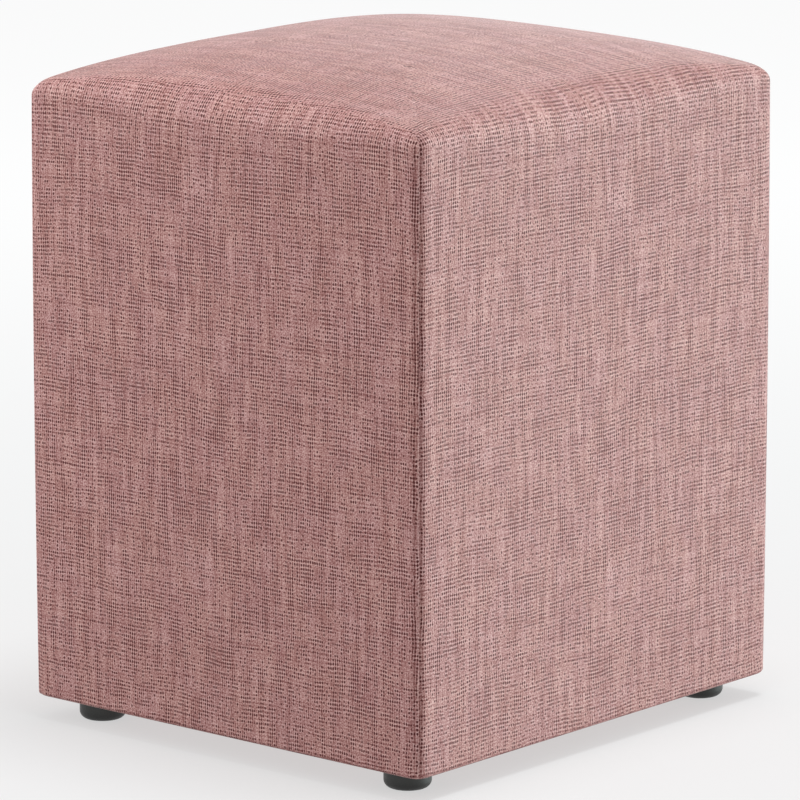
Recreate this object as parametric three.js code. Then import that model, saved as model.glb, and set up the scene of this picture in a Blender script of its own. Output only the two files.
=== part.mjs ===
/**
 * Cube pouf stool: a filled, cloth-covered block with a crowned seat, standing on four round glides.
 *
 * Millimetres, +Z up. The origin is on the floor under the middle of the stool; the width runs
 * along X and the depth along Y, and the glides' soles lie at z = 0.
 *
 * The cloth has no seam round the seat: it rolls over the top edges in one piece, with a wide roll
 * in the middle of each side and a tight one at the corners. One sewn seam runs down each of the
 * four upright corners, and the cloth is turned under along the bottom edge.
 */
import * as THREE from 'three';
import { mergeVertices } from 'three/addons/utils/BufferGeometryUtils.js';

// Driving dimensions of the upholstered block.
const WIDTH = 380;
const DEPTH = 350;
const EDGE_HEIGHT = 430; // from the underside to the level of the top corners
const EDGE_LIFT = 8; // rise of a top edge's middle above its corners
const EDGE_LIFT_POWER = 3.8; // higher keeps the lift nearly to the corners
const CROWN = 21; // further rise of the seat's middle
const CROWN_POWER = 2.75; // higher is flatter in the middle and steeper towards the edges
const ROLL_AT_MIDDLE = 25; // radius of the top edge's roll in the middle of a side
const ROLL_AT_CORNER = 10.5; // and at the upright corners
const CORNER_RADIUS = 7.5; // upright corners, in plan
const HEM_RADIUS = 3; // fold of the turned-under bottom edge
const SIDE_BOW = 1.5; // how far the filling pushes out the middle of a side
const CORNER_BOW = 0.6; // and the middle of an upright corner
const SEAM_WIDTH = 3; // corner seams, a shallow valley
const SEAM_DEPTH = 1.2;

// Driving dimensions of the glides.
const GLIDE_HEIGHT = 16; // floor to the underside of the cloth
const GLIDE_TOP_RADIUS = 16.2;
const GLIDE_LOW_RADIUS = 15; // just above the rounded lower rim
const GLIDE_RIM_RADIUS = 4; // rounding between the side and the flat sole
const GLIDE_INSET_X = 31; // from the block's side faces to the glide's centre
const GLIDE_INSET_Y = 36; // from its front and back faces
const SEATING_GAP = 0.3; // between a glide's top and the cloth that it is screwed against

// How finely the surfaces are divided.
const SIDE_STEPS = 12;
const CORNER_STEPS = 3; // on each flank of a corner seam
const WALL_STEPS = 6;
const ROLL_STEPS = 8;
const SEAT_STEPS = 9;
const HEM_STEPS = 3;
const UNDERSIDE_STEPS = 3;
const GLIDE_SEGMENTS = 36;
const GLIDE_RIM_STEPS = 5;

const HALF_WIDTH = WIDTH / 2;
const HALF_DEPTH = DEPTH / 2;
const QUARTER_TURN = Math.PI / 2;

const clothMaterial = new THREE.MeshStandardMaterial({ color: 0xc09693, roughness: 0.95, metalness: 0 });
const glideMaterial = new THREE.MeshStandardMaterial({ color: 0x222422, roughness: 0.45, metalness: 0 });

/**
 * The angles of a corner's arc, from 0 to a quarter turn, with how deep the seam is at each (0 to 1).
 * The seam is a V in the middle of the arc.
 */
function cornerAngles() {
  const middle = QUARTER_TURN / 2;
  const seamFlank = SEAM_WIDTH / 2 / CORNER_RADIUS;
  const angles = [];
  for (let i = 0; i <= CORNER_STEPS; i += 1) {
    angles.push({ angle: ((middle - seamFlank) * i) / CORNER_STEPS, seam: 0 });
  }
  angles.push({ angle: middle, seam: 1 });
  for (let i = CORNER_STEPS; i >= 0; i -= 1) {
    angles.push({ angle: QUARTER_TURN - ((middle - seamFlank) * i) / CORNER_STEPS, seam: 0 });
  }
  return angles;
}

/**
 * The stations round the block in plan, anticlockwise from above. Each has its place on the rounded
 * rectangle, its outward normal, how far it is from the middle of its side (0) towards the corner
 * (1), and the depth of the seam there.
 */
function outlineStations() {
  const stations = [];
  for (let side = 0; side < 4; side += 1) {
    const turn = side * QUARTER_TURN;
    const reach = side % 2 === 0 ? HALF_WIDTH : HALF_DEPTH;
    const halfLength = (side % 2 === 0 ? HALF_DEPTH : HALF_WIDTH) - CORNER_RADIUS;
    const outward = new THREE.Vector2(Math.cos(turn), Math.sin(turn));
    const along = new THREE.Vector2(-Math.sin(turn), Math.cos(turn));
    for (let i = 1; i < SIDE_STEPS; i += 1) {
      const share = (2 * i) / SIDE_STEPS - 1;
      const place = outward.clone().multiplyScalar(reach).addScaledVector(along, share * halfLength);
      stations.push({ place, normal: outward, towardsCorner: Math.abs(share), seam: 0 });
    }
    const centre = outward.clone().multiplyScalar(reach - CORNER_RADIUS).addScaledVector(along, halfLength);
    for (const { angle, seam } of cornerAngles()) {
      const normal = new THREE.Vector2(Math.cos(turn + angle), Math.sin(turn + angle));
      const place = centre.clone().addScaledVector(normal, CORNER_RADIUS);
      stations.push({ place, normal, towardsCorner: 1, seam });
    }
  }
  return stations;
}

/** A value that is one size in the middle of a side and another at the corners. */
function towardsCorner(station, atMiddle, atCorner) {
  return atCorner + (atMiddle - atCorner) * (1 - station.towardsCorner ** 2);
}

/** A hump across a span: 1 in its middle and 0 at its ends, fuller with a higher power. */
function hump(offset, halfSpan, power) {
  return Math.max(0, 1 - Math.abs(offset / halfSpan) ** power);
}

/** The rise of the filled seat over the level of its corners. */
function seatRise(x, y) {
  const liftX = hump(x, HALF_WIDTH, EDGE_LIFT_POWER);
  const liftY = hump(y, HALF_DEPTH, EDGE_LIFT_POWER);
  const crown = CROWN * hump(x, HALF_WIDTH, CROWN_POWER) * hump(y, HALF_DEPTH, CROWN_POWER);
  return EDGE_LIFT * (liftX + liftY - liftX * liftY) + crown;
}

/** A station's place in plan, drawn in from both walls by `inset` and pushed out by `bulge`. */
function planPoint(station, inset, bulge) {
  const outer = station.place.clone().addScaledVector(station.normal, bulge);
  return new THREE.Vector2(outer.x * (1 - inset / HALF_WIDTH), outer.y * (1 - inset / HALF_DEPTH));
}

/** The underside's flat rings and the fold of the hem, from the middle outwards and up. */
function lowerRings(stations) {
  const rings = [];
  for (let i = 1; i < UNDERSIDE_STEPS; i += 1) {
    const share = i / UNDERSIDE_STEPS;
    rings.push(stations.map((station) => {
      const flat = planPoint(station, HEM_RADIUS, 0).multiplyScalar(share);
      return new THREE.Vector3(flat.x, flat.y, GLIDE_HEIGHT);
    }));
  }
  for (let i = 0; i < HEM_STEPS; i += 1) {
    const angle = (QUARTER_TURN * i) / HEM_STEPS;
    rings.push(stations.map((station) => {
      const inset = HEM_RADIUS * (1 - Math.sin(angle));
      const plan = planPoint(station, inset, -SEAM_DEPTH * station.seam * Math.sin(angle));
      return new THREE.Vector3(plan.x, plan.y, GLIDE_HEIGHT + HEM_RADIUS * (1 - Math.cos(angle)));
    }));
  }
  return rings;
}

/** The four walls, from the hem to where the roll of the top edge starts. */
function wallRings(stations) {
  const rings = [];
  for (let i = 0; i <= WALL_STEPS; i += 1) {
    const share = i / WALL_STEPS;
    const bowShare = 4 * share * (1 - share);
    rings.push(stations.map((station) => {
      const bow = bowShare * towardsCorner(station, SIDE_BOW, CORNER_BOW);
      const plan = planPoint(station, 0, bow - SEAM_DEPTH * station.seam);
      const rollRadius = towardsCorner(station, ROLL_AT_MIDDLE, ROLL_AT_CORNER);
      const edge = EDGE_HEIGHT + seatRise(station.place.x, station.place.y);
      const height = edge - rollRadius - HEM_RADIUS;
      return new THREE.Vector3(plan.x, plan.y, GLIDE_HEIGHT + HEM_RADIUS + height * share);
    }));
  }
  return rings;
}

/** The roll of the top edges, where the corner seams run out. */
function rollRings(stations) {
  const rings = [];
  for (let i = 1; i <= ROLL_STEPS; i += 1) {
    const angle = (QUARTER_TURN * i) / ROLL_STEPS;
    rings.push(stations.map((station) => {
      const radius = towardsCorner(station, ROLL_AT_MIDDLE, ROLL_AT_CORNER);
      const seamDepth = SEAM_DEPTH * station.seam * Math.cos(angle);
      const plan = planPoint(station, radius * (1 - Math.cos(angle)), -seamDepth);
      const edge = EDGE_HEIGHT - radius + radius * Math.sin(angle);
      return new THREE.Vector3(plan.x, plan.y, GLIDE_HEIGHT + edge + seatRise(plan.x, plan.y));
    }));
  }
  return rings;
}

/** The crowned seat, from the end of the roll to the middle. */
function seatRings(stations) {
  const rings = [];
  for (let i = 1; i < SEAT_STEPS; i += 1) {
    const share = 1 - i / SEAT_STEPS;
    rings.push(stations.map((station) => {
      const radius = towardsCorner(station, ROLL_AT_MIDDLE, ROLL_AT_CORNER);
      const plan = planPoint(station, radius, 0).multiplyScalar(share);
      return new THREE.Vector3(plan.x, plan.y, GLIDE_HEIGHT + EDGE_HEIGHT + seatRise(plan.x, plan.y));
    }));
  }
  return rings;
}

/** One closed surface through rings of points, each end drawn together to a single point. */
function closedLoft(rings, firstPole, lastPole) {
  const count = rings[0].length;
  const positions = [firstPole, ...rings.flat(), lastPole].flatMap((point) => point.toArray());
  const ringStart = (ring) => 1 + ring * count;
  const last = 1 + rings.length * count;
  const faces = [];
  for (let i = 0; i < count; i += 1) {
    const next = (i + 1) % count;
    faces.push(0, ringStart(0) + next, ringStart(0) + i);
    for (let ring = 0; ring + 1 < rings.length; ring += 1) {
      const low = ringStart(ring);
      const high = ringStart(ring + 1);
      faces.push(low + i, low + next, high + next);
      faces.push(low + i, high + next, high + i);
    }
    const top = ringStart(rings.length - 1);
    faces.push(top + i, top + next, last);
  }
  const geometry = new THREE.BufferGeometry();
  geometry.setAttribute('position', new THREE.Float32BufferAttribute(positions, 3));
  geometry.setIndex(faces);
  geometry.computeVertexNormals();
  return geometry;
}

/** The filled, cloth-covered block. */
function upholsteredBlock() {
  const stations = outlineStations();
  const rings = [
    ...lowerRings(stations),
    ...wallRings(stations),
    ...rollRings(stations),
    ...seatRings(stations),
  ];
  const underside = new THREE.Vector3(0, 0, GLIDE_HEIGHT);
  const seatMiddle = new THREE.Vector3(0, 0, GLIDE_HEIGHT + EDGE_HEIGHT + seatRise(0, 0));
  const block = new THREE.Mesh(closedLoft(rings, underside, seatMiddle), clothMaterial);
  block.name = 'upholstered_block';
  return block;
}

/** One moulded glide, tapering a little to a rounded rim and a flat sole at z = 0. */
function glideGeometry() {
  const top = GLIDE_HEIGHT - SEATING_GAP;
  const soleRadius = GLIDE_LOW_RADIUS - GLIDE_RIM_RADIUS;
  const profile = [new THREE.Vector2(0, 0)];
  for (let i = 0; i <= GLIDE_RIM_STEPS; i += 1) {
    const angle = (QUARTER_TURN * i) / GLIDE_RIM_STEPS;
    profile.push(new THREE.Vector2(
      soleRadius + GLIDE_RIM_RADIUS * Math.sin(angle),
      GLIDE_RIM_RADIUS * (1 - Math.cos(angle)),
    ));
  }
  profile.push(new THREE.Vector2(GLIDE_TOP_RADIUS, top), new THREE.Vector2(0, top));
  const turned = new THREE.LatheGeometry(profile, GLIDE_SEGMENTS).rotateX(QUARTER_TURN);
  turned.deleteAttribute('normal');
  turned.deleteAttribute('uv');
  return mergeVertices(turned);
}

/** The four glides, one near each lower corner. */
function glides() {
  const group = new THREE.Group();
  for (const [depthName, ySide] of [['front', -1], ['back', 1]]) {
    for (const [widthName, xSide] of [['left', -1], ['right', 1]]) {
      const glide = new THREE.Mesh(glideGeometry(), glideMaterial);
      glide.name = `glide_${depthName}_${widthName}`;
      glide.position.set(xSide * (HALF_WIDTH - GLIDE_INSET_X), ySide * (HALF_DEPTH - GLIDE_INSET_Y), 0);
      group.add(glide);
    }
  }
  return group;
}

const stool = new THREE.Group();
stool.add(upholsteredBlock(), glides());

export default stool;
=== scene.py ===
"""Cube pouf stool: a tight linen-look cover over a filled block, standing on four moulded glides.

Everything is in metres, with the origin on the floor under the middle of the stool, the width along X and
the depth along Y.
"""
import math

import bpy
from bpy.props import FloatProperty, FloatVectorProperty, IntProperty, PointerProperty
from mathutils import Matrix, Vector


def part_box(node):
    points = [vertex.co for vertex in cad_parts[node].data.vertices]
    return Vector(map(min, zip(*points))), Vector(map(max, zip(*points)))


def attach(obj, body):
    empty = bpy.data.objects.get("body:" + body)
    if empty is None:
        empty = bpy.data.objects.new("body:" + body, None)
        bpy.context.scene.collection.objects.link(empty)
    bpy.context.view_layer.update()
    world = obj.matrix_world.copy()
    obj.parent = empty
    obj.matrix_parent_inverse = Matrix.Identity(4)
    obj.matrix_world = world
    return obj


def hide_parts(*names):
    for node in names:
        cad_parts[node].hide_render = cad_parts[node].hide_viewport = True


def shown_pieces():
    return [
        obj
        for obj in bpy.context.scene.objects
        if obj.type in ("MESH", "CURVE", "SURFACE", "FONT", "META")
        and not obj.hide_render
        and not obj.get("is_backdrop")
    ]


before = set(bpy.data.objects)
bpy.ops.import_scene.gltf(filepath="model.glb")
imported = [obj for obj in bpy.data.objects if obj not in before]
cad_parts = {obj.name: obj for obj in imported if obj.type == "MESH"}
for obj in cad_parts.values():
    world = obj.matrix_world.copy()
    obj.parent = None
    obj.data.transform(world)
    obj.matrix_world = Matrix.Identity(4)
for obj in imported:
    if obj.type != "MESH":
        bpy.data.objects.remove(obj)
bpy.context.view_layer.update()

bl_info = {
    "name": "Cube pouf stool",
    "version": (1, 0, 0),
    "blender": (4, 5, 0),
    "location": "3D View > Sidebar > Pouf",
    "description": "Dresses the cube pouf stool: woven cover, corner seams and moulded glides",
    "category": "Object",
}

MM = 0.001
BLOCK_NODE = "upholstered_block"
GLIDE_NODES = ("glide_front_left", "glide_front_right", "glide_back_left", "glide_back_right")
BLOCK_LOW, BLOCK_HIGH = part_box(BLOCK_NODE)

# The cover's grid: a cube's faces cut into this many squares each way, and how many of their rows
# go to the roll of the top edges and the fold of the hem, on each side of the cube's edge.
GRID = 64
ROLL_ROWS = 7
HEM_ROWS = 3
# How much the grid's steps shrink towards the upright corners, towards the top and bottom of a side, and
# towards the rim of the seat and of the underside. With 0 the steps would be even.
CLOSE_AT_CORNERS = 0.88
CLOSE_UP_SIDES = 0.8
CLOSE_AT_RIM = 0.4
# The cube's faces lie at -1 and 1, and a point beyond this counts as lying on one.
ON_FACE = 1 - 1e-4

# The pressing of the filling. It also raises the middle of the seat, so this share of the side bow is
# taken off the crown beforehand.
SIMULATED_FRAMES = 20
CROWN_LEFT_TO_FILLING = 0.45

# A side's weave gives way to the seat's where the roll has come in by this share of its radius. The
# corner seam fades out over this stretch of the roll.
WEAVE_TURNS_AT = 0.6
SEAM_FADES_FROM = math.radians(15)
SEAM_FADES_OVER = math.radians(35)

# What a round fold saves of the way over a sharp one, in radii.
FOLD_SAVES = 2 - math.pi / 2

# The exponent that stands for how a screen turns a colour's number into light.
DISPLAY_GAMMA = 2.2


def linear(hex_colour):
    """An sRGB hex colour as the linear values that Blender works in."""
    channels = [int(hex_colour[i:i + 2], 16) / 255 for i in (1, 3, 5)]
    return tuple(c / 12.92 if c <= 0.04045 else ((c + 0.055) / 1.055) ** 2.4 for c in channels)


class CoverSettings(bpy.types.PropertyGroup):
    """The filled block and its cloth."""

    side_bow: FloatProperty(
        name="Side bow", description="How far the middle of a side stands out, corner bow included",
        default=1.5 * MM, subtype="DISTANCE", unit="LENGTH")
    corner_bow: FloatProperty(
        name="Corner bow", description="How far the middle of an upright corner stands out",
        default=0.6 * MM, subtype="DISTANCE", unit="LENGTH")
    edge_lift: FloatProperty(
        name="Edge lift", description="Rise of a top edge's middle above its corners",
        default=8.3 * MM, subtype="DISTANCE", unit="LENGTH")
    edge_lift_power: FloatProperty(
        name="Edge lift fullness", description="Higher keeps the lift nearly to the corners", default=3.8)
    crown: FloatProperty(
        name="Crown", description="Further rise of the seat's middle",
        default=20.7 * MM, subtype="DISTANCE", unit="LENGTH")
    crown_power: FloatProperty(
        name="Crown fullness", description="Higher is flatter in the middle of the seat", default=2.75)
    roll_at_middle: FloatProperty(
        name="Roll at middle", description="Radius of the top edge in the middle of a side",
        default=25 * MM, subtype="DISTANCE", unit="LENGTH")
    roll_at_corner: FloatProperty(
        name="Roll at corner", description="Radius of the top edge at the upright corners",
        default=8.8 * MM, subtype="DISTANCE", unit="LENGTH")
    corner_radius: FloatProperty(
        name="Corner radius", description="Radius of the upright corners, in plan",
        default=8.2 * MM, subtype="DISTANCE", unit="LENGTH")
    hem_radius: FloatProperty(
        name="Hem radius", description="Fold of the turned-under bottom edge",
        default=3 * MM, subtype="DISTANCE", unit="LENGTH")
    seam_depth: FloatProperty(
        name="Seam depth", description="Depth of the sewn valley down each upright corner",
        default=0.8 * MM, subtype="DISTANCE", unit="LENGTH")
    seam_width: FloatProperty(
        name="Seam width", description="Half the width of the sewn valley",
        default=0.7 * MM, subtype="DISTANCE", unit="LENGTH")
    seam_place: FloatProperty(
        name="Seam place",
        description="From the corner to the seam; less than 0 is on the side that faces Y",
        default=-1.0 * MM, subtype="DISTANCE", unit="LENGTH")
    allowance_height: FloatProperty(
        name="Allowance height",
        description="Ridge over the seam allowance, which is pressed to the side that faces X",
        default=0.45 * MM, subtype="DISTANCE", unit="LENGTH")
    allowance_width: FloatProperty(
        name="Allowance width", description="From the seam to the far edge of that ridge",
        default=3.4 * MM, subtype="DISTANCE", unit="LENGTH")
    filling_pressure: FloatProperty(
        name="Filling pressure", description="Pressure of the filling on the cloth in the simulation",
        default=4.0)
    warp_spacing: FloatProperty(
        name="Warp spacing", description="Distance between neighbouring upright threads",
        default=1.95 * MM, subtype="DISTANCE", unit="LENGTH")
    weft_spacing: FloatProperty(
        name="Weft spacing", description="Distance between neighbouring level threads",
        default=2.7 * MM, subtype="DISTANCE", unit="LENGTH")
    thread_colour: FloatVectorProperty(
        name="Thread", description="Lightest tone of the threads", subtype="COLOR", size=3,
        min=0, max=1, default=linear("#BE9895"))
    warm_thread_colour: FloatVectorProperty(
        name="Warm thread", description="The same where the colour drifts warmer", subtype="COLOR", size=3,
        min=0, max=1, default=linear("#C09A94"))
    gap_colour: FloatVectorProperty(
        name="Gap", description="Shaded gaps between the threads", subtype="COLOR", size=3,
        min=0, max=1, default=linear("#480A07"))


class GlideSettings(bpy.types.PropertyGroup):
    """The four moulded glides."""

    low_radius: FloatProperty(
        name="Low radius", description="Radius just above the rounded lower rim",
        default=16.3 * MM, subtype="DISTANCE", unit="LENGTH")
    rim_radius: FloatProperty(
        name="Rim radius", description="Rounding between the side and the flat sole",
        default=5.5 * MM, subtype="DISTANCE", unit="LENGTH")
    segments: IntProperty(
        name="Segments", description="Steps round a glide", default=96, min=12)
    plastic_colour: FloatVectorProperty(
        name="Plastic", description="Moulded plastic", subtype="COLOR", size=3,
        min=0, max=1, default=linear("#222422"))


class StageSettings(bpy.types.PropertyGroup):
    """Floor, lights and camera."""

    azimuth: FloatProperty(
        name="Azimuth", description="Camera's angle round the stool; 0 looks along +Y",
        default=math.radians(-49.586), subtype="ANGLE", unit="ROTATION")
    elevation: FloatProperty(
        name="Elevation", description="Camera's angle above the horizon",
        default=math.radians(12.043), subtype="ANGLE", unit="ROTATION")
    distance: FloatProperty(
        name="Distance", description="From the camera to the point it looks at",
        default=4.4035, subtype="DISTANCE", unit="LENGTH")
    lens: FloatProperty(
        name="Lens", description="Focal length in millimetres on a 36 mm sensor", default=285.96)
    look_at: FloatVectorProperty(
        name="Look at", description="Point in the middle of the picture", size=3,
        default=(-3.67 * MM, 0.0, 219.43 * MM), subtype="TRANSLATION", unit="LENGTH")
    floor_colour: FloatVectorProperty(
        name="Floor", description="Pale studio floor", subtype="COLOR", size=3,
        min=0, max=1, default=linear("#9B9B9B"))
    floor_glow: FloatProperty(
        name="Floor glow", description="Light that the floor itself gives off round the stool",
        default=0.567)
    far_glow: FloatProperty(
        name="Far glow", description="What it gives off besides, some metres away", default=0.158)
    surround: FloatProperty(
        name="Surround", description="Brightness of the pale surround", default=0.6)
    key_power: FloatProperty(
        name="Key light", description="Soft light at the camera's left", default=36.4,
        subtype="POWER", unit="POWER")
    overhead_power: FloatProperty(
        name="Overhead light", description="Soft light above the stool", default=49.5,
        subtype="POWER", unit="POWER")
    overhead_colour: FloatVectorProperty(
        name="Overhead light's colour", description="A little cool", subtype="COLOR",
        size=3, min=0, max=1, default=(0.94, 0.985, 1.0))
    right_power: FloatProperty(
        name="Right light", description="Large soft light, far off at the camera's right", default=2270,
        subtype="POWER", unit="POWER")
    right_colour: FloatVectorProperty(
        name="Right light's colour", description="Cool, like daylight from a window", subtype="COLOR",
        size=3, min=0, max=1, default=(0.855, 1.0, 1.0))


def add(tree, kind, links=None, output=0, **settings):
    """Adds a shader node, sets it, fills or wires its inputs, and gives back one of its outputs, if any.
    Sockets go by name, or by number where a node has several of one name: a Mix node's 4 and 5 are its
    vectors, its 6 and 7 are its colours, and a Texture Coordinate's output 3 is Object."""
    made = tree.nodes.new("ShaderNode" + kind)
    for name, value in settings.items():
        setattr(made, name, value)
    for socket, value in (links or {}).items():
        if isinstance(value, bpy.types.NodeSocket):
            tree.links.new(value, made.inputs[socket])
        else:
            made.inputs[socket].default_value = value
    return made.outputs[output] if made.outputs else None


def blank_material(name):
    """A new material whose node tree is still empty; gives back the material and the tree."""
    material = bpy.data.materials.new(name)
    material.use_nodes = True
    material.node_tree.nodes.clear()
    return material, material.node_tree


def finish_material(tree, surface):
    """Wires a shader to the material's output."""
    add(tree, "OutputMaterial", {"Surface": surface})


def weave_material(cover):
    """Linen-look polyester, plain woven from slubby yarn: matt and fuzzy, with dark rows of small gaps
    where thick and thin threads cross, and patches where the colour drifts."""
    material, tree = blank_material("linen_look_polyester_weave")

    # Cloth coordinates in metres. On the sides that face X the first one runs up the side, so there the
    # two change places, and the warp stands upright on every side.
    cloth = add(tree, "UVMap", uv_map="cloth")
    across, along = (add(tree, "SeparateXYZ", {0: cloth}, output=i) for i in (0, 1))
    turned = add(tree, "CombineXYZ", {0: along, 1: across})
    margin = add(tree, "Attribute", attribute_name="panel_margin", output=2)
    on_panel = add(tree, "Math", {0: margin, 1: 0.0}, operation="GREATER_THAN")
    place = add(tree, "Mix", {0: on_panel, 4: cloth, 5: turned}, output=1, data_type="VECTOR")

    # Places counted in threads, at their real spacing. The threads drift by about one spacing over
    # 60 mm, and waver by a quarter of one over 13 mm.
    counts = add(tree, "VectorMath", {0: place, 1: (1 / cover.warp_spacing, 1 / cover.weft_spacing, 0)},
                 operation="MULTIPLY")
    for size, reach in ((60 * MM, (2.2, 1.8, 0)), (13 * MM, (0.6, 0.4, 0))):
        wander = add(tree, "TexNoise", {"Vector": place, "Scale": 1 / size, "Detail": 1.0}, output=1,
                     noise_dimensions="2D")
        centred = add(tree, "VectorMath", {0: wander, 1: (0.5, 0.5, 0.5)}, operation="SUBTRACT")
        counts = add(tree, "VectorMath", {0: centred, 1: reach, 2: counts}, operation="MULTIPLY_ADD")

    # How open the cloth is at each point, from the gaps between warp threads and between weft threads:
    # 0 on a thread, 1 in the middle of a gap. The powers make the gaps narrower than the threads.
    angles = add(tree, "VectorMath", {0: counts, 1: (math.tau, math.tau, 0)}, operation="MULTIPLY")
    waves = add(tree, "VectorMath", {0: angles}, operation="COSINE")
    opened = add(tree, "VectorMath", {0: waves, 1: (-0.5, -0.5, 0), 2: (0.5, 0.5, 0)},
                 operation="MULTIPLY_ADD")
    gap_x, gap_y = (add(tree, "SeparateXYZ", {0: opened}, output=i) for i in (0, 1))
    warp_gap = add(tree, "Math", {0: gap_x, 1: 1.6}, operation="POWER")
    weft_gap = add(tree, "Math", {0: gap_y, 1: 2.0}, operation="POWER")
    hole = add(tree, "Math", {0: warp_gap, 1: weft_gap}, operation="MULTIPLY")

    # Every hole, every column between two warp threads and every row between two weft threads has its
    # own strength. Along a row or a column it comes and goes in runs.
    holes = add(tree, "VectorMath", {0: counts}, operation="FLOOR")
    chance = add(tree, "TexWhiteNoise", {"Vector": holes}, noise_dimensions="2D")
    count_x, count_y = (add(tree, "SeparateXYZ", {0: counts}, output=i) for i in (0, 1))
    hole_x, hole_y = (add(tree, "SeparateXYZ", {0: holes}, output=i) for i in (0, 1))

    # Neighbouring rows or columns are read this far apart in the noise, so that they aren't alike.
    apart = 7.31

    def runs(along_run, own_number, length):
        """Noise that runs along one row or column for about this many threads, different in each."""
        spread = add(tree, "Math", {0: own_number, 1: apart}, operation="MULTIPLY")
        shortened = add(tree, "Math", {0: along_run, 1: 1 / length}, operation="MULTIPLY")
        drawn = add(tree, "CombineXYZ", {0: shortened, 1: spread})
        return add(tree, "TexNoise", {"Vector": drawn, "Scale": 1.0, "Detail": 1.0}, noise_dimensions="2D")

    def slubs(width, length, seed, detail=2.0):
        """Noise drawn out to a width and length in metres: runs of thick and thin yarn."""
        drawn = add(tree, "Mapping", {"Vector": place, "Location": (seed, seed, 0),
                                      "Scale": (1 / width, 1 / length, 1)})
        return add(tree, "TexNoise", {"Vector": drawn, "Scale": 1.0, "Detail": detail},
                   noise_dimensions="2D")

    row_runs = runs(count_x, hole_y, 6.0)
    column_runs = runs(count_y, hole_x, 9.0)
    upright = slubs(5 * MM, 55 * MM, 3.7, 3.0)
    level = slubs(45 * MM, 5 * MM, 11.3, 3.0)
    patches = slubs(24 * MM, 24 * MM, 23.1)

    def weighed(base, *parts):
        """A sum of textures, each taken about its middle value and times its weight."""
        total = base
        for texture, weight in parts:
            shifted = add(tree, "Math", {0: texture, 1: 0.5}, operation="SUBTRACT")
            total = add(tree, "Math", {0: shifted, 1: weight, 2: total}, operation="MULTIPLY_ADD")
        return total

    # The tone of the cloth, from 0 for the threads' own colour to 1 for the gaps'. Each kind of gap is
    # taken about its mean, so where it is strong the threads beside it are lighter and the cloth as a
    # whole keeps its tone. Its strength stays between 0 and the most given for it. A power of 3 makes a
    # few holes strong and leaves the rest weak.
    few_wide = add(tree, "Math", {0: chance, 1: 3.0}, operation="POWER")
    openness = weighed(4.9, (few_wide, 13.5), (row_runs, 2.6), (column_runs, 8.5), (upright, 14.0),
                       (level, 4.5), (patches, 2.5))
    rows = weighed(0.14, (row_runs, 0.5), (patches, 0.4), (level, 0.3))
    columns = weighed(0.18, (column_runs, 1.0), (upright, 0.7))
    tone = weighed(0.33, (upright, 0.5), (level, 0.26))
    for gap, mean, strength, most in ((hole, 0.03, openness, 11.0), (weft_gap, 0.28, rows, 0.8),
                                      (warp_gap, 0.36, columns, 0.7)):
        strength = add(tree, "MapRange", {"Value": strength, "From Max": most, "To Max": most})
        varied = add(tree, "Math", {0: gap, 1: mean}, operation="SUBTRACT")
        tone = add(tree, "Math", {0: varied, 1: strength, 2: tone}, operation="MULTIPLY_ADD")

    # Fuzz: loose fibre ends, a little lighter and darker. Real ones are a few hundredths of a millimetre
    # thick; they are drawn at 1.1 mm, which is as fine as shows.
    fuzz = add(tree, "TexNoise", {"Vector": place, "Scale": 1 / (1.1 * MM), "Detail": 2.0},
               noise_dimensions="2D")
    toned = weighed(tone, (fuzz, -1.3))

    # The seams at the corners, over their modelled valley and ridge: a dark line of painted shade in the
    # valley, a light line where the cloth rises over the allowance, partly the fold hiding the gaps and
    # partly a painted highlight, and a thin dark line of painted shade in the dip past it. Each has its
    # place, as a share of the allowance's width from the seam, its half width in millimetres, and how much
    # it darkens.
    seam = add(tree, "Attribute", attribute_name="seam_distance", output=2)
    sewn = add(tree, "Attribute", attribute_name="seam_strength", output=2)
    for share, width, depth in ((0.0, 0.7, 0.12), (0.5, 0.8, -0.15), (1.0, 0.7, 0.22)):
        middle = cover.seam_place + share * cover.allowance_width
        aside = add(tree, "Math", {0: seam, 1: middle}, operation="SUBTRACT")
        aside = add(tree, "Math", {0: aside}, operation="ABSOLUTE")
        seam_light_and_shade = add(tree, "MapRange", {"Value": aside, "From Max": width * MM, "To Min": depth,
                                      "To Max": 0.0}, interpolation_type="SMOOTHSTEP")
        toned = add(tree, "Math", {0: seam_light_and_shade, 1: sewn, 2: toned}, operation="MULTIPLY_ADD")

    # The threads crowd at the fold of the hem, and painted shade darkens the lowest few millimetres, where
    # the cloth turns under.
    up = add(tree, "SeparateXYZ", {0: add(tree, "TexCoord", output=3)}, output=2)
    hem_crowding_and_shade = add(tree, "MapRange", {"Value": up, "From Min": BLOCK_LOW.z + 5.0 * MM,
                                    "From Max": BLOCK_LOW.z + 1.0 * MM}, interpolation_type="SMOOTHSTEP")
    toned = add(tree, "Math", {0: hem_crowding_and_shade, 1: 0.15, 2: toned}, operation="MULTIPLY_ADD", use_clamp=True)

    # Colours are mixed as the eye sees them and turned into linear light after that.
    def as_seen(colour):
        """A linear colour as a shader input, ready for the closing Gamma node."""
        return (*(c ** (1 / DISPLAY_GAMMA) for c in colour), 1)

    hue_drift = slubs(26 * MM, 34 * MM, 31.9, 1.0)
    drift_share = add(tree, "MapRange", {"Value": hue_drift, "From Min": 0.38, "From Max": 0.62})
    yarn = add(tree, "Mix", {0: drift_share, 6: as_seen(cover.warm_thread_colour),
                             7: as_seen(cover.thread_colour)}, output=2, data_type="RGBA")
    woven = add(tree, "Mix", {0: toned, 6: yarn, 7: as_seen(cover.gap_colour)}, output=2,
                data_type="RGBA")
    woven = add(tree, "Gamma", {"Color": woven, "Gamma": DISPLAY_GAMMA})

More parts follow.
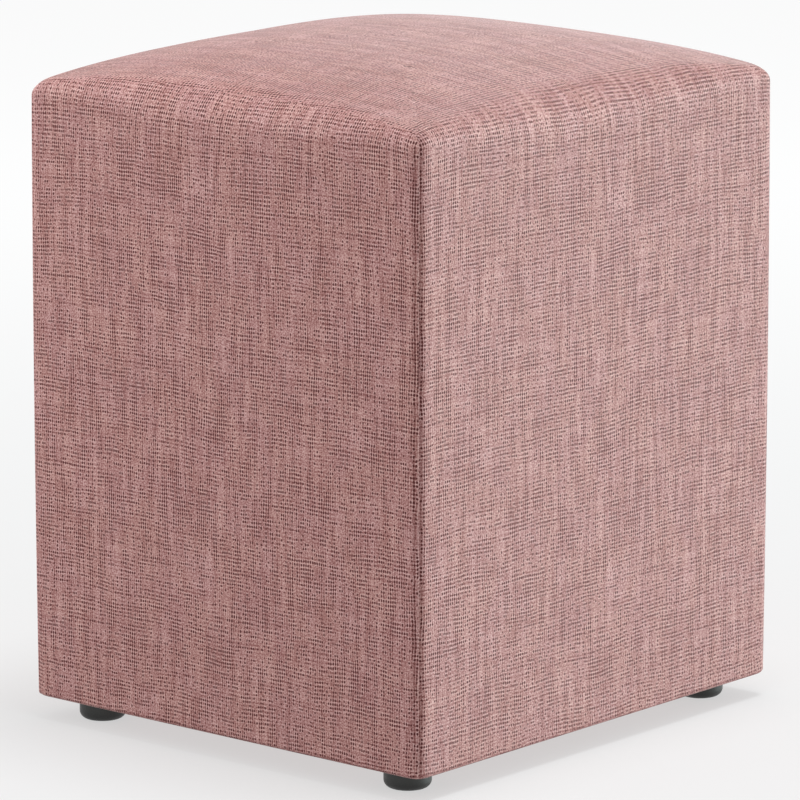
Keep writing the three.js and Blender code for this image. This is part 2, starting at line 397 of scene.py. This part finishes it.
    # Dark tones lie low. Polyester's own gloss is broken up by the yarn, so the surface is rough and its
    # specular level is under the usual 0.5; a weak sheen stands for the fuzz that catches light edge on.
    relief = add(tree, "Math", {0: toned, 1: -1.0}, operation="MULTIPLY")
    bumped = add(tree, "Bump", {"Height": relief, "Strength": 0.15, "Distance": 0.3 * MM})
    surface = add(tree, "BsdfPrincipled", {
        "Base Color": woven, "Roughness": 0.7, "IOR": 1.5, "Specular IOR Level": 0.39,
        "Sheen Weight": 0.14, "Sheen Roughness": 0.45, "Normal": bumped,
    })
    finish_material(tree, surface)
    return material


def plastic_material(glides):
    """Black nylon, injection moulded with a fine spark-eroded grain: satin, with soft broken highlights."""
    material, tree = blank_material("moulded_black_nylon")
    place = add(tree, "TexCoord", output=3)

    # The real grain is about 0.1 mm; it is drawn at 0.6 mm, which is as fine as shows. Patches some
    # 7 mm across are duller and a little paler, as handled plastic is.
    grain = add(tree, "TexNoise", {"Vector": place, "Scale": 1 / (0.6 * MM), "Detail": 3.0})
    mottle = add(tree, "TexNoise", {"Vector": place, "Scale": 1 / (7 * MM), "Detail": 2.0})
    dull = add(tree, "MapRange", {"Value": mottle, "From Min": 0.3, "From Max": 0.7,
                                  "To Min": 0.36, "To Max": 0.5})
    paler = tuple(min(1.0, c * 1.7) for c in glides.plastic_colour)
    tone = add(tree, "Mix", {0: mottle, 6: (*glides.plastic_colour, 1), 7: (*paler, 1)}, output=2,
               data_type="RGBA")

    # Painted shade and light: darker towards the sole, where the rim turns under into the floor's shade, so
    # the rim near the floor stays nearly black, and a little lighter on the upper part.
    up = add(tree, "SeparateXYZ", {0: place}, output=2)
    painted_sole_shade = add(tree, "MapRange", {"Value": up, "From Min": 0.0, "From Max": 9 * MM,
                                   "To Min": 0.2, "To Max": 1.2}, interpolation_type="SMOOTHSTEP")
    tone = add(tree, "VectorMath", {0: tone, "Scale": painted_sole_shade}, operation="SCALE")
    bumped = add(tree, "Bump", {"Height": grain, "Strength": 0.35, "Distance": 0.05 * MM})
    surface = add(tree, "BsdfPrincipled", {"Base Color": tone, "Roughness": dull, "IOR": 1.5,
                                           "Normal": bumped})
    finish_material(tree, surface)
    return material


def floor_material(stage):
    """Painted studio floor, lit so evenly that it partly glows, more so further out: matt, nearly white."""
    material, tree = blank_material("matt_white_studio_floor")
    matt = add(tree, "BsdfDiffuse", {"Color": (*stage.floor_colour, 1)})

    # The glow grows from the near to the far value between 0.3 and 2.3 m from the stool's middle.
    place = add(tree, "TexCoord", output=3)
    distance = add(tree, "VectorMath", {0: place}, output=1, operation="LENGTH")
    strength = add(tree, "MapRange", {"Value": distance, "From Min": 0.3, "From Max": 2.3,
                                      "To Min": stage.floor_glow,
                                      "To Max": stage.floor_glow + stage.far_glow},
                   interpolation_type="SMOOTHSTEP")
    glow = add(tree, "Emission", {"Color": (1, 1, 1, 1), "Strength": strength})
    finish_material(tree, add(tree, "AddShader", {0: matt, 1: glow}))
    return material


def hump(offset, half_span, power):
    """A hump across a span: 1 in its middle and 0 at its ends, fuller with a higher power."""
    return max(0.0, 1.0 - abs(offset / half_span) ** power)


def graded(share, closeness):
    """A share from 0 to 1 whose steps shrink towards 1; closeness runs from 0, even, to nearly 1."""
    return (1 - closeness) * share + closeness * math.sin(share * math.pi / 2)


class BlockForm:
    """The block's surface, worked out from its sizes: a place in space and on the cloth for each
    point of a cube's face grid. The filling's pressure later adds the rest of the sides' bow, and
    raises the middle of the seat a little."""

    def __init__(self, cover):
        self.cover = cover
        self.half = (BLOCK_HIGH.x - cover.side_bow, BLOCK_HIGH.y - cover.side_bow)
        self.crown = cover.crown - CROWN_LEFT_TO_FILLING * cover.side_bow
        self.underside = BLOCK_LOW.z
        self.edge_height = BLOCK_HIGH.z - self.underside - cover.edge_lift - cover.crown

    def seat_rise(self, x, y):
        """The rise of the filled seat over the level of its corners."""
        cover = self.cover
        lift_x = hump(x, self.half[0], cover.edge_lift_power)
        lift_y = hump(y, self.half[1], cover.edge_lift_power)
        crown_x = hump(x, self.half[0], cover.crown_power)
        crown_y = hump(y, self.half[1], cover.crown_power)
        return cover.edge_lift * (lift_x + lift_y - lift_x * lift_y) + self.crown * crown_x * crown_y

    def bowed(self, place):
        """A place moved out on all sides by the bow that the upright corners have at its height."""
        share = (place[2] - self.underside) / self.edge_height
        bow = self.cover.corner_bow * hump(2 * share - 1, 1, 2)
        return (place[0] * (1 + bow / self.half[0]), place[1] * (1 + bow / self.half[1]), place[2])

    def roll_radius(self, towards_corner):
        """The roll of the top edge, wide in the middle of a side and tight at the corners."""
        cover = self.cover
        return cover.roll_at_corner + (cover.roll_at_middle - cover.roll_at_corner) * (
            1 - towards_corner ** 2)

    def station(self, side, share, closeness):
        """A point on the outline in plan. Side 0 faces X and side 1 faces Y; the share runs from 0 in
        the middle of the side to 1 at the corner's seam. Gives how far out it is, how far along, how
        far it has run round the outline, and how near the corner it is."""
        radius = self.cover.corner_radius
        reach = self.half[side]
        straight = self.half[1 - side] - radius
        run = graded(share, closeness) * (straight + radius * math.pi / 4)
        if run <= straight:
            return reach, run, run, run / straight
        angle = (run - straight) / radius
        return (reach - radius * (1 - math.cos(angle)), straight + radius * math.sin(angle), run, 1.0)


def levels():
    """For each grid row up a side of the cube: which stretch it is in, and its share of that stretch."""
    wall_rows = GRID - HEM_ROWS - ROLL_ROWS
    found = []
    for row in range(GRID + 1):
        if row < HEM_ROWS:
            found.append(("hem", 0.5 + 0.5 * row / HEM_ROWS))
        elif row <= GRID - ROLL_ROWS:
            share = 2 * (row - HEM_ROWS) / wall_rows - 1
            found.append(("wall", 0.5 + 0.5 * math.copysign(graded(abs(share), CLOSE_UP_SIDES), share)))
        else:
            found.append(("roll", 0.5 * (row - GRID + ROLL_ROWS) / ROLL_ROWS))
    return found


def ring_level(ring, rolled_rows, stretch):
    """The same for a square ring of the cube's top or bottom, counted from its middle. Its outer rows
    belong to the named stretch, the roll or the hem, and the others to the seat or the base."""
    half_grid = GRID // 2
    inner = half_grid - rolled_rows
    if ring > inner:
        beyond = (ring - inner) / rolled_rows
        return (stretch, 1 - 0.5 * beyond) if stretch == "roll" else (stretch, 0.5 * beyond)
    return ("seat" if stretch == "roll" else "base", graded(ring / inner, CLOSE_AT_RIM))


WALL_LEVELS = levels()


def surface_point(form, side, corner, level):
    """Where a grid point lies. The side faces X (0) or Y (1), corner is the signed share along it, and
    level is its stretch and share. Gives the place (out, along, up), the cloth's run (out, along),
    the angle that the roll has turned there and the nearness to the corner."""
    cover = form.cover
    stretch, share = level
    closeness = CLOSE_AT_CORNERS * (share if stretch in ("seat", "base") else 1.0)
    out, along, run, towards = form.station(side, abs(corner), closeness)
    radius = form.roll_radius(towards)
    reach, width = form.half[side], form.half[1 - side]
    hem, floor = cover.hem_radius, form.underside
    plan_x, plan_y = (out, along) if side == 0 else (along, out)
    edge = form.edge_height + form.seat_rise(plan_x, plan_y)
    wall_top = edge - radius
    # The cloth's way from the middle of the seat over the edge and down to the underside, by a corner
    # and here. A side's cloth goes from the first at the hem to the second at the roll, so its threads
    # lie level along the hem and still run on over the roll.
    corner_run = reach + form.edge_height - cover.roll_at_corner * FOLD_SAVES
    own_run = reach + edge - radius * FOLD_SAVES
    angle = 0.0
    inset = 0.0
    scale = 1.0
    if stretch == "hem":
        turn = share * math.pi / 2
        inset = hem * (1 - math.sin(turn))
        up = hem * (1 - math.cos(turn))
        cloth_out = corner_run - hem + hem * (math.pi / 2 - turn)
    elif stretch == "base":
        inset = hem
        scale = share
        up = 0.0
        cloth_out = corner_run + hem * (math.pi / 2 - 1) + (reach - hem) * (1 - share)
    elif stretch == "wall":
        up = hem + (wall_top - hem) * share
        cloth_out = own_run * share + corner_run * (1 - share) - up
    else:
        angle = share * math.pi / 2 if stretch == "roll" else math.pi / 2
        inset = radius * (1 - math.cos(angle))
        scale = 1.0 if stretch == "roll" else share
    far = out * (1 - inset / reach) * scale
    near = along * (1 - inset / width) * scale
    if stretch in ("roll", "seat"):
        rise = form.seat_rise(far, near) if side == 0 else form.seat_rise(near, far)
        up = form.edge_height - radius * (1 - math.sin(angle)) + rise
        slack = (reach - out) * math.cos(angle)
        seat_end = (out + slack) * (1 - radius / reach)
        cloth_out = far if stretch == "seat" else seat_end + radius * (math.pi / 2 - angle)
    cloth_along = near + (run - along) * math.cos(angle) * scale
    sign = math.copysign(1.0, corner)
    return (far, near * sign, floor + up), (cloth_out, cloth_along * sign), angle, towards


def grid_level(corner_of_cube):
    """The level of a point of the cube's surface, whose faces lie at -1 and 1."""
    x, y, z = corner_of_cube
    half_grid = GRID / 2
    if abs(z) < ON_FACE:
        return WALL_LEVELS[round((z + 1) * half_grid)]
    ring = round(max(abs(x), abs(y)) * half_grid)
    if ring == GRID // 2:
        return WALL_LEVELS[GRID if z > 0 else 0]
    return ring_level(ring, ROLL_ROWS, "roll") if z > 0 else ring_level(ring, HEM_ROWS, "hem")


def lay_point(form, on_cube, side):
    """The place, cloth run, roll angle and corner nearness of a cube point, seen as part of one side."""
    facing, beside = (on_cube[0], on_cube[1]) if side == 0 else (on_cube[1], on_cube[0])
    size = max(abs(facing), abs(beside), 1e-9)
    sign = math.copysign(1.0, facing)
    place, cloth, angle, towards = surface_point(form, side, beside / size, grid_level(on_cube))
    if side == 0:
        return (place[0] * sign, place[1], place[2]), (cloth[0] * sign, cloth[1]), angle, towards
    return (place[1], place[0] * sign, place[2]), (cloth[1], cloth[0] * sign), angle, towards


def only_select(piece):
    """Leaves one object selected and active."""
    bpy.ops.object.select_all(action="DESELECT")
    piece.select_set(True)
    bpy.context.view_layer.objects.active = piece


def cube_grid(name):
    """A cube from -1 to 1 with each face cut into the cover's grid."""
    bpy.ops.object.select_all(action="DESELECT")
    bpy.ops.mesh.primitive_cube_add(size=2)
    piece = bpy.context.object
    piece.name = name
    piece.data.name = name
    bpy.ops.object.mode_set(mode="EDIT")
    bpy.ops.mesh.select_all(action="SELECT")
    bpy.ops.mesh.subdivide(number_cuts=GRID - 1)
    bpy.ops.object.mode_set(mode="OBJECT")
    while piece.data.uv_layers:
        piece.data.uv_layers.remove(piece.data.uv_layers[0])
    return piece


def shape_block(piece, form):
    """Moves the cube's points to the block's surface. Writes the cloth's run in metres as a UV map, and
    for each point how far inside a panel that faces X it is, how far from the corner it is and how
    strong the seam is there. The corners and the hem go into the group of what is sewn down."""
    mesh = piece.data
    on_cube = [tuple(vertex.co) for vertex in mesh.vertices]
    hem_top = -1 + (HEM_ROWS + 0.5) * 2 / GRID
    cloth = mesh.uv_layers.new(name="cloth")
    for face in mesh.polygons:
        centre = face.center
        side = 0 if abs(centre.x) > abs(centre.y) else 1
        for loop in face.loop_indices:
            point = on_cube[mesh.loops[loop].vertex_index]
            cloth.data[loop].uv = lay_point(form, point, side)[1]
    margin = mesh.attributes.new("panel_margin", "FLOAT", "POINT")
    seam = mesh.attributes.new("seam_distance", "FLOAT", "POINT")
    strength = mesh.attributes.new("seam_strength", "FLOAT", "POINT")
    sewn = []
    for vertex, point in zip(mesh.vertices, on_cube):
        side = 0 if abs(point[0]) >= abs(point[1]) else 1
        place, _, angle, towards = lay_point(form, point, side)
        vertex.co = form.bowed(place)
        past_corner = ((abs(place[0]) - form.half[0]) - (abs(place[1]) - form.half[1])) / math.sqrt(2)
        onto_roll = abs(place[0]) - form.half[0] + WEAVE_TURNS_AT * form.roll_radius(towards)
        index = vertex.index
        margin.data[index].value = min(past_corner, onto_roll)
        seam.data[index].value = past_corner
        faded = 1 - (angle - SEAM_FADES_FROM) / SEAM_FADES_OVER
        strength.data[index].value = min(1.0, max(0.0, faded)) if point[2] > -1 else 0.0
        at_corner = min(abs(point[0]), abs(point[1])) > ON_FACE
        if at_corner or point[2] < hem_top:
            sewn.append(index)
    piece.vertex_groups.new(name="sewn").add(sewn, 1.0, "REPLACE")


def apply_modifier(piece, name):
    """Makes a modifier's result the piece's own mesh."""
    only_select(piece)
    bpy.ops.object.modifier_apply(modifier=name)


def fill_cover(piece, cover):
    """Presses the filling against the cloth, which is held at its sewn lines and round its hem. The real
    cover is tight, so the movement is then scaled down, until a side stands out by the side bow."""
    start = [vertex.co.copy() for vertex in piece.data.vertices]
    cloth = piece.modifiers.new("filling", "CLOTH")
    # Stiff cloth. With gravity off, its mass only sets how fast it moves.
    cloth.settings.quality = 5
    cloth.settings.mass = 0.3
    cloth.settings.tension_stiffness = 30
    cloth.settings.compression_stiffness = 30
    cloth.settings.shear_stiffness = 15
    cloth.settings.bending_stiffness = 2
    cloth.settings.use_pressure = True
    cloth.settings.uniform_pressure_force = cover.filling_pressure
    cloth.settings.effector_weights.gravity = 0
    cloth.settings.vertex_group_mass = "sewn"
    cloth.collision_settings.use_collision = False
    cloth.point_cache.frame_start = 1
    cloth.point_cache.frame_end = SIMULATED_FRAMES
    for step in range(1, SIMULATED_FRAMES + 1):
        bpy.context.scene.frame_set(step)
    apply_modifier(piece, "filling")
    bpy.context.scene.frame_set(1)
    moves = [vertex.co - old for vertex, old in zip(piece.data.vertices, start)]
    most = max(max(abs(move.x), abs(move.y)) for move in moves)
    for vertex, old, move in zip(piece.data.vertices, start, moves):
        vertex.co = old + move * ((cover.side_bow - cover.corner_bow) / most)


def smooth_once(piece):
    """One round of subdivision, so that the seams and the rolled edges are fine enough."""
    only_select(piece)
    bpy.ops.object.modifier_add(type="SUBSURF")
    finer = piece.modifiers[-1]
    finer.levels = finer.render_levels = 1
    finer.boundary_smooth = "PRESERVE_CORNERS"
    finer.uv_smooth = "NONE"
    apply_modifier(piece, finer.name)


def bell(distance, width):
    """A smooth bump: 1 at no distance, fading out beyond the width."""
    return math.exp(-(distance / width) ** 2)


def sew_corners(piece, cover):
    """Draws the cloth in along each upright corner, and raises it over the seam allowance."""
    mesh = piece.data
    seam = mesh.attributes["seam_distance"].data
    strength = mesh.attributes["seam_strength"].data
    normals = [vertex.normal.copy() for vertex in mesh.vertices]
    # The ridge is highest half way across the allowance, and the cloth dips a little past its far edge.
    ridge = cover.allowance_width / 2
    ridge_width = 0.55 * ridge
    dip_width = 0.35 * ridge
    dip_depth = 0.5 * cover.allowance_height
    farthest = 4 * cover.allowance_width
    for vertex, normal in zip(mesh.vertices, normals):
        beside = seam[vertex.index].value
        if abs(beside) > farthest:
            continue
        drawn = -cover.seam_depth * bell(beside - cover.seam_place, cover.seam_width)
        raised = cover.allowance_height * bell(beside - cover.seam_place - ridge, ridge_width)
        sunk = -dip_depth * bell(beside - cover.seam_place - cover.allowance_width, dip_width)
        vertex.co += normal * (drawn + raised + sunk) * strength[vertex.index].value


class POUF_OT_cover(bpy.types.Operator):
    """Models the filled block with its woven cover, corner seams and turned-under hem"""

    bl_idname = "pouf.cover"
    bl_label = "Woven cover"

    def execute(self, context):
        cover = context.scene.pouf_cover
        form = BlockForm(cover)
        piece = cube_grid("woven_cover")
        shape_block(piece, form)
        fill_cover(piece, cover)
        smooth_once(piece)
        sew_corners(piece, cover)
        only_select(piece)
        bpy.ops.object.shade_smooth()
        piece.data.materials.clear()
        piece.data.materials.append(weave_material(cover))
        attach(piece, "root")
        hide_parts(BLOCK_NODE)
        return {"FINISHED"}


class POUF_OT_glides(bpy.types.Operator):
    """Models the four moulded glides"""

    bl_idname = "pouf.glides"
    bl_label = "Glides"

    def execute(self, context):
        glides = context.scene.pouf_glides
        material = plastic_material(glides)
        for node in GLIDE_NODES:
            low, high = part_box(node)
            middle = (low + high) / 2
            top_radius = (high.x - low.x) / 2
            bpy.ops.object.select_all(action="DESELECT")
            bpy.ops.mesh.primitive_cylinder_add(
                vertices=glides.segments, radius=top_radius, depth=high.z - low.z, location=middle)
            piece = bpy.context.object
            piece.name = "moulded_" + node
            piece.data.name = piece.name
            bpy.ops.object.transform_apply(location=True, rotation=True, scale=True)
            bpy.ops.object.mode_set(mode="EDIT")
            bpy.ops.mesh.select_all(action="DESELECT")
            bpy.ops.object.mode_set(mode="OBJECT")

            # The sole alone is selected: it is brought to the low radius, and its rim is rounded.
            for vertex in piece.data.vertices:
                vertex.select = vertex.co.z < middle.z
            for edge in piece.data.edges:
                edge.select = all(piece.data.vertices[v].select for v in edge.vertices)
            bpy.ops.object.mode_set(mode="EDIT")
            share = glides.low_radius / top_radius
            bpy.ops.transform.resize(value=(share, share, 1), center_override=middle)
            bpy.ops.mesh.bevel(offset=glides.rim_radius, segments=8, profile=0.5)
            bpy.ops.object.mode_set(mode="OBJECT")
            only_select(piece)
            bpy.ops.object.shade_smooth_by_angle(angle=math.radians(40))
            piece.data.materials.clear()
            piece.data.materials.append(material)
            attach(piece, "root")
            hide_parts(node)
        return {"FINISHED"}


class POUF_OT_stage(bpy.types.Operator):
    """Sets the floor, the soft lights and the camera"""

    bl_idname = "pouf.stage"
    bl_label = "Stage"

    def execute(self, context):
        stage = context.scene.pouf_stage
        bpy.ops.object.select_all(action="DESELECT")
        bpy.ops.mesh.primitive_circle_add(vertices=128, radius=25, fill_type="NGON")
        floor = bpy.context.object
        floor.name = "studio_floor"
        floor.data.materials.append(floor_material(stage))
        floor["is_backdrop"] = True

        world = bpy.data.worlds.new("pale_surround")
        context.scene.world = world
        world.use_nodes = True
        background = world.node_tree.nodes["Background"]
        background.inputs["Color"].default_value = (1, 1, 1, 1)
        background.inputs["Strength"].default_value = stage.surround

        # The lights at the sides reach the stool alone, so they leave no streak on the floor. Each has
        # its name, place, width, power, colour and whether it lights the floor as well.
        stool = bpy.data.collections.new("stool")
        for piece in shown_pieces():
            stool.objects.link(piece)
        target = Vector(stage.look_at)
        for name, place, width, power, colour, on_floor in (
            ("key_softbox", (-1.15, 1.5, 1.4), 1.2, stage.key_power, (1, 1, 1), False),
            ("overhead_softbox", (0.16, -0.36, 3.2), 1.2, stage.overhead_power, stage.overhead_colour,
             True),
            ("right_softbox", (9.5, -6.5, 1.6), 6.0, stage.right_power, stage.right_colour, False),
        ):
            lamp = bpy.data.lights.new(name, "AREA")
            lamp.shape = "DISK"
            lamp.size = width
            lamp.energy = power
            lamp.color = colour
            holder = bpy.data.objects.new(name, lamp)
            context.scene.collection.objects.link(holder)
            holder.location = place
            holder.rotation_euler = (target - Vector(place)).to_track_quat("-Z", "Y").to_euler()
            holder.visible_camera = False
            if not on_floor:
                holder.light_linking.receiver_collection = stool

        lens = bpy.data.cameras.new("product_camera")
        lens.sensor_width = 36
        lens.lens = stage.lens
        camera = bpy.data.objects.new("product_camera", lens)
        context.scene.collection.objects.link(camera)
        level = math.cos(stage.elevation)
        back = Vector((math.sin(stage.azimuth) * level, -math.cos(stage.azimuth) * level,
                       math.sin(stage.elevation)))
        camera.location = target + back * stage.distance
        camera.rotation_euler = (-back).to_track_quat("-Z", "Y").to_euler()
        context.scene.camera = camera
        context.scene.view_settings.view_transform = "Standard"
        return {"FINISHED"}


class POUF_PT_build(bpy.types.Panel):
    """The stool's pieces and their sizes"""

    bl_idname = "POUF_PT_build"
    bl_label = "Cube pouf stool"
    bl_space_type = "VIEW_3D"
    bl_region_type = "UI"
    bl_category = "Pouf"

    def draw(self, context):
        for operator, group in (("pouf.cover", "pouf_cover"), ("pouf.glides", "pouf_glides"),
                                ("pouf.stage", "pouf_stage")):
            box = self.layout.box()
            box.operator(operator)
            settings = getattr(context.scene, group)
            for name in settings.__annotations__:
                box.prop(settings, name)


CLASSES = (CoverSettings, GlideSettings, StageSettings, POUF_OT_cover, POUF_OT_glides, POUF_OT_stage,
           POUF_PT_build)


def register():
    """Adds the settings, operators and panel."""
    for made in CLASSES:
        bpy.utils.register_class(made)
    bpy.types.Scene.pouf_cover = PointerProperty(type=CoverSettings)
    bpy.types.Scene.pouf_glides = PointerProperty(type=GlideSettings)
    bpy.types.Scene.pouf_stage = PointerProperty(type=StageSettings)


def unregister():
    """Takes them away again."""
    del bpy.types.Scene.pouf_stage
    del bpy.types.Scene.pouf_glides
    del bpy.types.Scene.pouf_cover
    for made in reversed(CLASSES):
        bpy.utils.unregister_class(made)


def main():
    """Builds the stool and its stage."""
    register()
    bpy.ops.pouf.cover()
    bpy.ops.pouf.glides()
    bpy.ops.pouf.stage()


if __name__ == "__main__":
    main()
